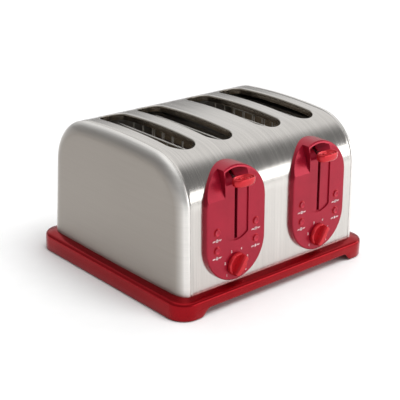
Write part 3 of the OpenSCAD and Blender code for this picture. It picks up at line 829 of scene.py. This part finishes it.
class TOASTER_OT_panels(bpy.types.Operator):
    """Control panels: arched hood, left facet, lever channel with its slit, and holes"""

    bl_idname = "toaster.panels"
    bl_label = "Control panels"

    ARC_STEPS = 20
    CHANNEL_LOW, CHANNEL_HIGH, CHANNEL_SAG = 77, 162, 7
    CHANNEL_LEFT, CHANNEL_RIGHT, CHANNEL_DEPTH = 16.6, 18.0, 1.6
    HOOD_LOW, HOOD_FULL = 142, 156   # the hood's hollow starts here and reaches the shell here
    SLIT_Z = (78.6, 158)
    CLEAR = 6                # how far the cutting shapes reach out in front
    FACET_LOW, FACET_HIGH, FACET_RIGHT = 130, 170, -17.9
    FACET_SPAN = 30          # height over which the facet reaches its depth
    ROOF_LOW, ROOF_SPAN = 135, 30    # the face starts to curve back here, and over this height
    BACK_Y, BACK_INSET = -92, 4.0    # the back before the cut, and how far the cut lies inside the shell
    REACH = 60               # half width of the cutting shapes that pass the panel's sides

    def levels(self, inset):
        """(half width, height) of the panel's racetrack outline from bottom to top."""
        r = PANEL_HALF_W - inset
        low, high = PANEL_LOW + PANEL_HALF_W, PANEL_HIGH - PANEL_HALF_W
        turns = steps(0, math.pi / 2, self.ARC_STEPS)
        bottom = [(r * math.sin(a), low - r * math.cos(a)) for a in turns]
        middle = [(r, z) for z in steps(low, high, 5)[1:-1]]
        return bottom + middle + arc(0, high, r, 0, math.pi / 2, self.ARC_STEPS)

    def body(self, x, rim, drop):
        def ring(inset, behind):
            points = self.levels(inset)
            made = []
            for dx, z in points + [(-w, z) for w, z in reversed(points)]:
                roof = max(0, (z - self.ROOF_LOW) / self.ROOF_SPAN) ** 2
                y = self.BACK_Y if behind is None else face_y(z) + behind + drop * roof
                made.append((x + dx, y, z))
            return made

        rounding = [(rim * (1 - math.cos(a)), rim * (1 - math.sin(a))) for a in steps(0, math.pi / 2, 5)]
        rings = [ring(0, None)] + [ring(i, d) for i, d in rounding] + [ring(rim + 0.8, 0)]
        shape = Shape().loft(rings, ends=False)
        count = len(rings[0])
        for first in (0, (len(rings) - 1) * count):
            for i in range(count // 2 - 1):
                shape.faces.append([first + i, first + i + 1, first + count - 2 - i, first + count - 1 - i])
        return mesh_object("panel", shape)

    def shell_core(self, x):
        """The shell's inside, which the panel's back follows."""
        outline = shell_outline(self.BACK_INSET, 4, 24, 2)
        return Shape().loft([[(x + w, y, z - (30 if z < 25 else 0)) for y, z in outline]
                             for w in (-self.REACH, self.REACH)])

    def channel(self, x):
        low_r = (self.CHANNEL_RIGHT ** 2 + self.CHANNEL_SAG ** 2) / (2 * self.CHANNEL_SAG)
        top_r, top_z = PANEL_HALF_W - (PANEL_HIGH - self.CHANNEL_HIGH), PANEL_HIGH - PANEL_HALF_W
        slices = []
        for t in steps(0, 1, 12):
            z = self.CHANNEL_LOW + self.CHANNEL_SAG * t * t
            slices.append((math.sqrt(max(0.0004, low_r ** 2 - (low_r - z + self.CHANNEL_LOW) ** 2)), z))
        shoulder = top_z + math.sqrt(top_r ** 2 - self.CHANNEL_RIGHT ** 2)
        slices += [(self.CHANNEL_RIGHT, z) for z in [118, 135] + steps(self.HOOD_LOW, self.HOOD_FULL, 8)
                   if z < shoulder]
        for t in steps(0, 1, 10):
            z = blend(self.CHANNEL_HIGH, shoulder, (1 - t) ** 2)
            slices.append((math.sqrt(max(0.0004, top_r ** 2 - (z - top_z) ** 2)), z))
        rings = []
        for w, z in slices:
            front = face_y(z) - self.CLEAR
            shell = -face_y(z) - wall_y(z) - 1.5
            back = face_y(z) + blend(self.CHANNEL_DEPTH, shell,
                                     ease((z - self.HOOD_LOW) / (self.HOOD_FULL - self.HOOD_LOW)))
            left, right = x - min(w, self.CHANNEL_LEFT), x + min(w, self.CHANNEL_RIGHT)
            flush = face_y(z) + self.CHANNEL_DEPTH
            rings.append([(left, front, z), (right, front, z), (right, flush, z),
                          (blend(left, right, 0.6), blend(flush, back, 0.75), z), (left, back, z)])
        return Shape().loft(rings)

    def facet(self, x, depth):
        rings = []
        left, right = x - self.REACH, x + self.FACET_RIGHT
        for z in (self.FACET_LOW - 4, self.FACET_HIGH):
            front, back = face_y(z) - 8, face_y(z) + depth * (z - self.FACET_LOW) / self.FACET_SPAN
            rings.append([(left, front, z), (right, front, z), (right, back, z), (left, back, z)])
        return Shape().loft(rings)

    def execute(self, context):
        sizes = context.scene.toaster_panel
        for side, s in SIDES.items():
            x = s * MODULE_X
            panel = self.body(x, sizes.rim / MM, sizes.roof_drop / MM)
            panel.name = side + "_panel"
            cut(panel, self.shell_core(x))
            openings = self.channel(x)
            places = [on_face(x + t * BUTTON_X, z) for t in (-1, 1) for z in BUTTON_Z]
            for place in places:
                openings.lathe([(5.7, -20), (5.7, -2.6), (4.35, -2.6), (4.35, 4)], place, 32)
            openings.lathe([(3.2, -20), (3.2, 4)], on_face(x, DIAL_Z), 32)
            cut(panel, openings)
            half = sizes.slit / MM / 2
            cut(panel, Shape().box((x - half, -150, self.SLIT_Z[0]), (x + half, -90, self.SLIT_Z[1])))
            cut(panel, self.facet(x, sizes.facet / MM))
            soften(panel, sizes.edge / MM, 30)
            dress(panel, "panel_red", "housing", ["control_panel_" + side], 15)
            modify(panel, "even shading", "WEIGHTED_NORMAL", keep_sharp=True)
            rings = Shape()
            for place in places:
                rings.lathe([(4.35, -0.4), (5.1, -0.2), (5.05, 0.16), (4.8, 0.3), (4.5, 0.22), (4.35, -0.1)],
                            place, 40)
            bezels = mesh_object(side + "_button_rings", rings)
            dress(bezels, "panel_red", "housing", finish=finish_for("knob_red"))
        return {"FINISHED"}


class TOASTER_OT_marks(bpy.types.Operator):
    """Printed numbers round the dials and a small picture under each button"""

    bl_idname = "toaster.marks"
    bl_label = "Numbers and marks"

    THICK = 0.12
    NUMBER_RADIUS = 18.2
    NUMBER_FIRST, NUMBER_STEP = -125, 50         # directions of the numbers in degrees
    MARK_Z = (83.4, 62.4)
    DASHES = ((-6.3, -0.2), (-5.0, 0.3), (-3.7, -0.1), (2.9, 0.2), (4.2, -0.3), (5.5, 0.1))

    def line(self, shape, place, points, width):
        """Flat stroke through the points."""
        for (u0, v0), (u1, v1) in zip(points, points[1:]):
            along = Vector((u1 - u0, v1 - v0)).normalized()
            side = Vector((-along.y, along.x)) * width / 2
            ends = along * width * 0.3
            first, last = Vector((u0, v0)) - ends, Vector((u1, v1)) + ends
            flat = [first + side, first - side, last - side, last + side]
            shape.loft([[place(u, v, w) for u, v in flat] for w in (-0.05, self.THICK)])

    def arc(self, radius, start=0, end=360, count=16):
        return [(radius * math.cos(math.radians(a)), radius * math.sin(math.radians(a)))
                for a in steps(start, end, count)]

    def picture(self, kind):
        if kind == 0:    # stop: ring with a bar
            return [self.arc(1.6), [(-0.95, -0.95), (0.95, 0.95)]]
        if kind == 1:    # warm again: three waves
            return [[(u + 0.4 * math.sin(v * 2.2), v) for v in steps(-1.5, 1.5, 8)] for u in (-1.4, 0, 1.4)]
        if kind == 2:    # ring roll: two circles
            return [self.arc(1.6), self.arc(0.55)]
        return [[(-1.6 * math.cos(a), -1.6 * math.sin(a)), (1.6 * math.cos(a), 1.6 * math.sin(a))]
                for a in steps(math.pi / 6, math.pi * 5 / 6, 2)]     # frozen: crossed lines

    def execute(self, context):
        sizes = context.scene.toaster_panel
        white = moulded_plastic("print_white", context.scene.toaster_looks.print_white, 0.5)
        width = sizes.mark / MM
        for side, s in SIDES.items():
            shape = Shape()
            for kind in range(4):
                dx, z = (-BUTTON_X, BUTTON_X)[kind % 2], self.MARK_Z[kind // 2]
                place = on_face(s * MODULE_X + dx, z)
                for stroke in self.picture(kind):
                    self.line(shape, place, stroke, width)
                for u0, v in self.DASHES:
                    self.line(shape, place, [(u0, v - 0.4), (u0 + 0.7, v + 0.4)], width * 1.2)
            marks = mesh_object(side + "_marks", shape)
            self.numbers(marks, s * MODULE_X, sizes.number)
            dress(marks, "panel_red", "housing", finish=white)
        return {"FINISHED"}

    def numbers(self, marks, x, size):
        work = bmesh.new()
        work.from_mesh(marks.data)
        for i in range(6):
            angle = math.radians(self.NUMBER_FIRST + self.NUMBER_STEP * i)
            curve = bpy.data.curves.new("number", "FONT")
            curve.body = str(i + 1)
            curve.size = size * 1.35
            curve.align_x = "CENTER"
            curve.align_y = "CENTER"
            curve.extrude = 0.00008
            figure = bpy.data.objects.new("number", curve)
            bpy.context.scene.collection.objects.link(figure)
            mesh = bpy.data.meshes.new_from_object(
                figure.evaluated_get(bpy.context.evaluated_depsgraph_get()))
            place = on_face(x, DIAL_Z)
            du, dv = self.NUMBER_RADIUS * math.sin(angle), self.NUMBER_RADIUS * math.cos(angle)
            for vertex in mesh.vertices:
                u, v, w = vertex.co / MM
                vertex.co = place(u + du, v + dv, w + 0.04) * MM
            work.from_mesh(mesh)
            bpy.data.objects.remove(figure)
        work.to_mesh(marks.data)
        work.free()


class TOASTER_OT_knobs(bpy.types.Operator):
    """Lever knobs: oval paddles with a dished, ridged top"""

    bl_idname = "toaster.knobs"
    bl_label = "Lever knobs"

    REAR = -127.3            # the knob's rear, which passes in front of the channel's floor
    DISH, RIDGE = 2.3, 1.3   # depth of the dish and height of its ridges

    def execute(self, context):
        for side, s in SIDES.items():
            low, high = mm_box("lever_knob_" + side)
            high.y = self.REAR
            centre = (low + high) / 2
            half_w, half_d = (high.x - low.x) / 2, (high.y - low.y) / 2
            top, bottom = high.z, low.z
            levels = [(0.02, bottom + 0.9), (0.55, bottom + 0.6), (0.80, bottom), (0.90, bottom + 0.4),
                      (0.965, bottom + 1.6), (0.995, bottom + 3.4), (1.0, bottom + 5), (0.995, bottom + 6.6),
                      (0.98, top - 1.3), (0.955, top - 0.45), (0.92, top - 0.06), (0.885, top - 0.05),
                      (0.85, top - 0.5), (0.82, top - 1.2), (0.78, top - 1.9)]
            levels += [(share, top - self.DISH + self.RIDGE * max(0, math.cos(share * 19)))
                       for share in steps(0.74, 0.1, 30)]
            levels.append((0.02, top - self.DISH))
            rings = []
            for share, z in levels:
                ring = []
                for a in [2 * math.pi * j / 72 for j in range(72)]:
                    across = math.copysign(abs(math.cos(a)) ** 0.82, math.cos(a))
                    along = math.copysign(abs(math.sin(a)) ** 0.8, math.sin(a))
                    ring.append((centre.x + half_w * share * across, centre.y + half_d * share * along, z))
                rings.append(ring)
            knob = mesh_object(side + "_lever_knob", Shape().loft(rings))
            dress(knob, "knob_red", "lift_" + side, ["lever_knob_" + side], 60)
        return {"FINISHED"}


class TOASTER_OT_dials(bpy.types.Operator):
    """Browning dials with a raised grip bar"""

    bl_idname = "toaster.dials"
    bl_label = "Browning dials"

    TURN = math.radians(37)
    RADIUS = 14
    RIM = ((0.5, 0.4), (0.1, 0.7), (0, 1.3), (0.1, 2.6), (0.5, 3.9), (1.1, 4.6), (2.0, 4.85), (3.0, 4.6),
           (4.5, 4.2))                                       # inset from the radius, height
    GRIP = ((3.0, 4.0, 0.5), (5.0, 3.95, 0.6), (8.5, 3.6, 1.0), (10.3, 3.3, 1.5), (11.0, 2.9, 2.1),
            (11.35, 2.3, 2.8), (11.4, 1.7, 3.4))             # height, half width, inset from the radius

    def execute(self, context):
        for side, s in SIDES.items():
            place = on_face(s * MODULE_X, DIAL_Z, self.TURN)
            r = self.RADIUS
            disc = [(0.1, -14), (2.9, -14), (2.9, 0.4)]
            disc += [(r - inset, h) for inset, h in self.RIM] + [(0.1, 4.0)]
            shape = Shape().lathe(disc, place, 96)
            bar = []
            for w, half, inset in self.GRIP:
                ring = []
                for turn in (0, math.pi):
                    for a in steps(-0.5 * math.pi, 0.5 * math.pi, 8):
                        u, v = half * math.sin(a), r - inset - 1.8 + 1.8 * math.cos(a)
                        ring.append(place(u * math.cos(turn) + v * math.sin(turn),
                                          v * math.cos(turn) - u * math.sin(turn), w))
                bar.append(ring)
            shape.loft(bar)
            dial = mesh_object(side + "_dial", shape)
            dress(dial, "dial_red", "dial_%s_knob" % side, ["dial_" + side], 40)
        return {"FINISHED"}


class TOASTER_OT_buttons(bpy.types.Operator):
    """Push buttons with a shallow dish"""

    bl_idname = "toaster.buttons"
    bl_label = "Push buttons"

    OUTLINE = ((0.1, -12.5), (1.9, -12.5), (1.9, -3.9), (5.2, -3.8), (5.2, -2.95), (3.95, -2.8), (3.95, 0.9),
               (3.85, 1.3), (3.6, 1.52), (3.25, 1.58), (2.9, 1.45), (2.3, 1.15), (1.2, 0.95), (0.1, 0.9))

    def execute(self, context):
        for side, s in SIDES.items():
            for k in range(4):
                node = "button_%s_%d" % (side, k + 1)
                dx, z = (-BUTTON_X, BUTTON_X)[k % 2], BUTTON_Z[k // 2]
                shape = Shape().lathe(self.OUTLINE, on_face(s * MODULE_X + dx, z), 40)
                cap = mesh_object(node + "_cap", shape)
                dress(cap, "button_red", "push_%s_%d" % (side, k + 1), [node])
        return {"FINISHED"}


class TOASTER_OT_springs(bpy.types.Operator):
    """Return springs of coiled wire, closed at both ends"""

    bl_idname = "toaster.springs"
    bl_label = "Return springs"

    TURNS, TURN_STEPS = 12, 28
    WIRE = 0.6               # radius of the wire
    TRAVEL = 0.062           # of the lever, in metres

    def execute(self, context):
        for side in SIDES:
            node = "return_spring_" + side
            low, high = mm_box(node)
            x, y = (low.x + high.x) / 2, (low.y + high.y) / 2
            radius = (high.x - low.x) / 2 - self.WIRE
            count = self.TURNS * self.TURN_STEPS
            path = []
            for i in range(count + 1):
                t = i / count
                close = (t * self.TURNS - 1) / (self.TURNS - 2)
                share = min(1, max(0, close)) * 0.97 + 0.015 * min(1, t * self.TURNS) \
                    + 0.015 * min(1, max(0, (t - 1) * self.TURNS + 1))
                a = 2 * math.pi * i / self.TURN_STEPS
                path.append((x + radius * math.cos(a), y + radius * math.sin(a),
                             blend(low.z + self.WIRE, high.z - self.WIRE, share)))
            spring = mesh_object(side + "_spring", Shape().tube(path, self.WIRE))
            dress(spring, "spring_steel", "housing", [node], 60)
            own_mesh(spring)
        return {"FINISHED"}


class TOASTER_OT_mechanism(bpy.types.Operator):
    """Finishes of the parts that keep their CAD shape"""

    bl_idname = "toaster.mechanism"
    bl_label = "Mechanism finishes"

    CARRIED = {
        "galvanised": ["front_frame", "rear_frame"] + pair("carriage_plate") + pair("crumb_tray"),
        "aluminium_shield": ["left_outer_shield", "right_outer_shield", "centre_shield"],
        "mica": numbered("heater_card", 6),
        "nichrome": pair("heater_wire"),
        "bright_wire": pair("guide_rod") + numbered("bread_rack", 4) + numbered("guard", 8),
        "board_green": pair("circuit_board"),
        "coil_brown": pair("latch_magnet"),
        "latch_iron": pair("latch_plate"),
        "black_plastic": ["cord_gland"],
        "zinc_screw": ["base_screws"],
    }
    BEVELLED = pair("carriage_plate") + pair("crumb_tray") + ["cord_gland", "base_screws"]

    def execute(self, context):
        for slot, names in self.CARRIED.items():
            for name in names:
                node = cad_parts[name]
                if not node.material_slots:
                    raise RuntimeError(name + " has no material slot")
                for place in node.material_slots:
                    place.link = "OBJECT"
                    place.material = finish_for(slot)
                if name in self.BEVELLED:
                    modify(node, "soft edges", "BEVEL", width=0.0002, limit_method="ANGLE",
                           angle_limit=math.radians(50))
        return {"FINISHED"}


# ---------------------------------------------------------------- stage


class TOASTER_OT_stage(bpy.types.Operator):
    """Pale floor, soft room light, two lamps and the camera"""

    bl_idname = "toaster.stage"
    bl_label = "Stage"

    # Parts of the room: direction, angles at which it starts and is full, grey level, lowest height
    ROOM = (
        ((0.75, 0.55, 0.35), 75, 30, 0.95, 0.20),
        ((0.0, 0.0, 1.0), 45, 20, 1.1, -2.0),
        ((0.63, -0.66, 0.50), 42, 16, 0.22, 0.05),
    )
    ROOM_LEVEL = 0.32
    ROOM_FADE = 0.11                 # height over which a part fades in above its lowest height
    KEY_FROM = (0.35, -0.75, 1.6)
    KEY_ANGLE = math.radians(35)
    STRIP_AT = (0.80, -0.95, 0.34)   # low soft box in front, seen in the steel as a bright band
    STRIP_SIZE = (1.9, 0.34)
    FLOOR_HALF, FLOOR_CELLS = 6000, 24

    def floor(self, colour):
        shape = Shape()
        lines = steps(-self.FLOOR_HALF, self.FLOOR_HALF, self.FLOOR_CELLS)
        for x0, x1 in zip(lines, lines[1:]):
            for y0, y1 in zip(lines, lines[1:]):
                shape.add([(x0, y0, 0), (x1, y0, 0), (x1, y1, 0), (x0, y1, 0)], [[0, 1, 2, 3]])
        floor = face_upwards(mesh_object("floor", shape))
        floor.data.materials.append(moulded_plastic("floor_paint", colour, 0.85, contrast=0.01))

    def room(self, strength):
        world = bpy.data.worlds.new("room")
        world.use_nodes = True
        bpy.context.scene.world = world
        nodes = Nodes(world.node_tree)
        way = nodes.place("Generated")
        sky = (self.ROOM_LEVEL,) * 3 + (1.0,)
        height = nodes.along(way, 2)
        for direction, start, full, level, lowest in self.ROOM:
            facing = nodes.node("ShaderNodeVectorMath", {"operation": "DOT_PRODUCT"},
                                {0: way, 1: Vector(direction).normalized()}, "Value")
            share = nodes.spread(facing, *[math.cos(math.radians(a)) for a in (start, full)], "SMOOTHSTEP")
            share = share * nodes.spread(height, lowest, lowest + self.ROOM_FADE, "SMOOTHSTEP")
            sky = nodes.between(sky, (level, level, level, 1.0), share)
        seen = nodes.node("ShaderNodeLightPath", {}, {}, "Is Camera Ray")
        sky = nodes.between(sky, (1.0, 1.0, 1.0, 1.0), seen)
        back = nodes.node("ShaderNodeBackground", {}, {"Color": sky, "Strength": strength})
        nodes.node("ShaderNodeOutputWorld", {}, {"Surface": back})

    def camera(self, stage):
        a, e = stage.azimuth, stage.elevation
        back = Vector((math.sin(a) * math.cos(e), -math.cos(a) * math.cos(e), math.sin(e)))
        right = (-back).cross(Vector((0, 0, 1))).normalized()
        up = right.cross(-back)
        turned = right * math.cos(stage.roll) + up * math.sin(stage.roll)
        up = up * math.cos(stage.roll) - right * math.sin(stage.roll)
        camera = bpy.data.objects.new("camera", bpy.data.cameras.new("camera"))
        camera.matrix_world = Matrix.LocRotScale(
            Vector(stage.position), Matrix((turned, up, back)).transposed().to_quaternion(), None)
        camera.data.sensor_width = 36
        camera.data.lens = stage.lens
        camera.data.clip_end = 30
        bpy.context.scene.collection.objects.link(camera)
        bpy.context.scene.camera = camera

    def lamp(self, name, kind, energy, towards):
        """Lamp that shines from the direction towards, back to the toaster."""
        lamp = bpy.data.objects.new(name, bpy.data.lights.new(name, kind))
        lamp.data.energy = energy
        lamp.rotation_euler = Vector(towards).to_track_quat("Z", "Y").to_euler()
        bpy.context.scene.collection.objects.link(lamp)
        return lamp

    def execute(self, context):
        stage = context.scene.toaster_stage
        self.floor(stage.floor)
        self.room(stage.room)
        key = self.lamp("key", "SUN", stage.key, self.KEY_FROM)
        key.data.angle = self.KEY_ANGLE
        key.visible_glossy = False
        strip = self.lamp("strip", "AREA", stage.strip, (self.STRIP_AT[0], self.STRIP_AT[1], 0))
        strip.data.shape = "RECTANGLE"
        strip.data.size, strip.data.size_y = self.STRIP_SIZE
        strip.location = self.STRIP_AT
        strip.visible_camera = False
        self.camera(stage)
        context.scene.view_settings.view_transform = "Standard"
        return {"FINISHED"}


# ---------------------------------------------------------------- add-on


OPERATORS = (TOASTER_OT_wrap, TOASTER_OT_caps, TOASTER_OT_base, TOASTER_OT_feet, TOASTER_OT_panels,
             TOASTER_OT_marks, TOASTER_OT_knobs, TOASTER_OT_dials, TOASTER_OT_buttons, TOASTER_OT_springs,
             TOASTER_OT_mechanism, TOASTER_OT_stage)
GROUPS = {
    "toaster_shell": ToasterShellSizes,
    "toaster_panel": ToasterPanelSizes,
    "toaster_looks": ToasterLooks,
    "toaster_stage": ToasterStage,
}


class TOASTER_PT_sidebar(bpy.types.Panel):
    """Lists the toaster's pieces and their sizes"""

    bl_label = "Toaster"
    bl_idname = "TOASTER_PT_sidebar"
    bl_space_type = "VIEW_3D"
    bl_region_type = "UI"
    bl_category = "Toaster"

    def draw(self, context):
        for operator in OPERATORS:
            self.layout.operator(operator.bl_idname)
        for name, group in GROUPS.items():
            box = self.layout.box()
            for field in group.__annotations__:
                box.prop(getattr(context.scene, name), field)


def register():
    for name, group in GROUPS.items():
        bpy.utils.register_class(group)
        setattr(bpy.types.Scene, name, bpy.props.PointerProperty(type=group))
    for item in (*OPERATORS, TOASTER_PT_sidebar):
        bpy.utils.register_class(item)


def unregister():
    for item in (TOASTER_PT_sidebar, *reversed(OPERATORS)):
        bpy.utils.unregister_class(item)
    for name, group in GROUPS.items():
        delattr(bpy.types.Scene, name)
        bpy.utils.unregister_class(group)


def main():
    register()
    for operator in OPERATORS:
        group, name = operator.bl_idname.split(".")
        getattr(getattr(bpy.ops, group), name)()


if __name__ == "__main__":
    main()
